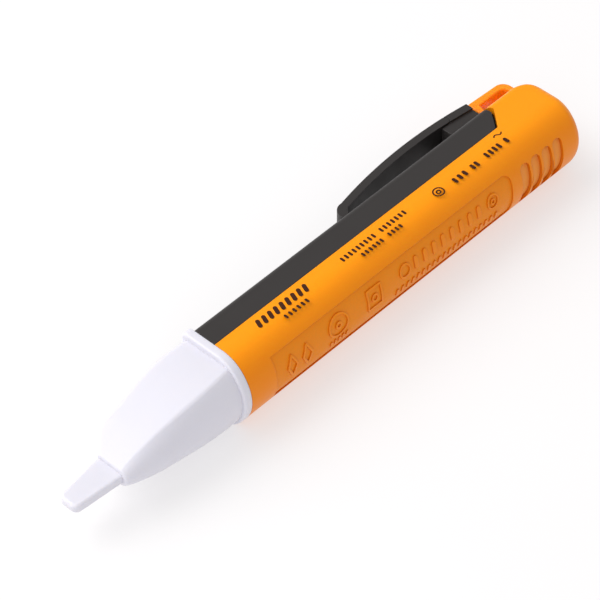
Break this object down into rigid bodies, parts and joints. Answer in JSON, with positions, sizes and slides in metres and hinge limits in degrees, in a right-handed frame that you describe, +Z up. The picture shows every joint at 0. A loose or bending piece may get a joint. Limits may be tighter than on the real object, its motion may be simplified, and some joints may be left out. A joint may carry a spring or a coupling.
{
  "type": "non contact voltage tester",
  "caption": "Pocket pen tester with a white flat-bladed sensing tip, a grey frame with a springy clip, and an orange sleeve that slides off the rear to open the battery space.",
  "frame": {"origin": "centre of the bounding box's footprint, at the flat side the tester lies on", "axes": "+X from the blade's end to the rear end, +Y from the rounded belly to the clip, +Z up through both flat sides"},
  "size_m": [0.1508, 0.0251, 0.0195],
  "materials": {
    "tip_plastic": "satin, slightly translucent white",
    "grey_plastic": "fine satin texture",
    "orange_plastic": "satin moulded",
    "board_laminate": "solder mask",
    "spring_bronze": "rolled strip",
    "red_epoxy": "clear tinted epoxy",
    "tinned_wire": "dull tin",
    "black_epoxy": "moulded epoxy",
    "ceramic": "fired ceramic",
    "film_resistor": "glazed film",
    "sounder_plastic": "moulded",
    "sounder_plate": "thin plate",
    "screw_steel": "zinc plated",
    "contact_steel": "nickel plated strip",
    "spring_steel": "nickel plated wire",
    "cell_metal": "plated can",
    "cell_film": "printed film"
  },
  "bodies": {
    "frame": {"sensor_tip": "tip_plastic", "carrier": "grey_plastic", "circuit_board": "board_laminate", "sense_electrode": "spring_bronze", "indicator_led": "red_epoxy", "led_leads": "tinned_wire", "logic_chip": "black_epoxy", "chip_legs": "tinned_wire", "transistor": "black_epoxy", "chip_resistors": "film_resistor", "chip_capacitors": "ceramic", "buzzer_housing": "sounder_plastic", "buzzer_disc": "sounder_plate", "board_screws": "screw_steel", "front_contact": "contact_steel", "return_contact": "contact_steel", "rear_spring": "spring_steel", "front_cell_can": "cell_metal", "front_cell_jacket": "cell_film", "rear_cell_can": "cell_metal", "rear_cell_jacket": "cell_film"},
    "sleeve": {"sleeve": "orange_plastic"},
    "latch": {"release_latch": "orange_plastic"},
    "clip": {"pocket_clip": "grey_plastic"}
  },
  "joints": [
    {"name": "sleeve_slide", "type": "slide", "parent": "frame", "child": "sleeve", "axis": [1, 0, 0], "range_m": [0, 0.105]},
    {"name": "latch_press", "type": "hinge", "parent": "sleeve", "child": "latch", "pos_m": [0.07465, 0.00085, 0.00975], "axis": [0, 0, 1], "range_deg": [0, 3], "stiffness_Nm_per_rad": 0.4},
    {"name": "clip_flex", "type": "hinge", "parent": "frame", "child": "clip", "pos_m": [0.0556, 0.0111, 0.00975], "axis": [0, 0, -1], "range_deg": [0, 6], "stiffness_Nm_per_rad": 1.5}
  ]
}
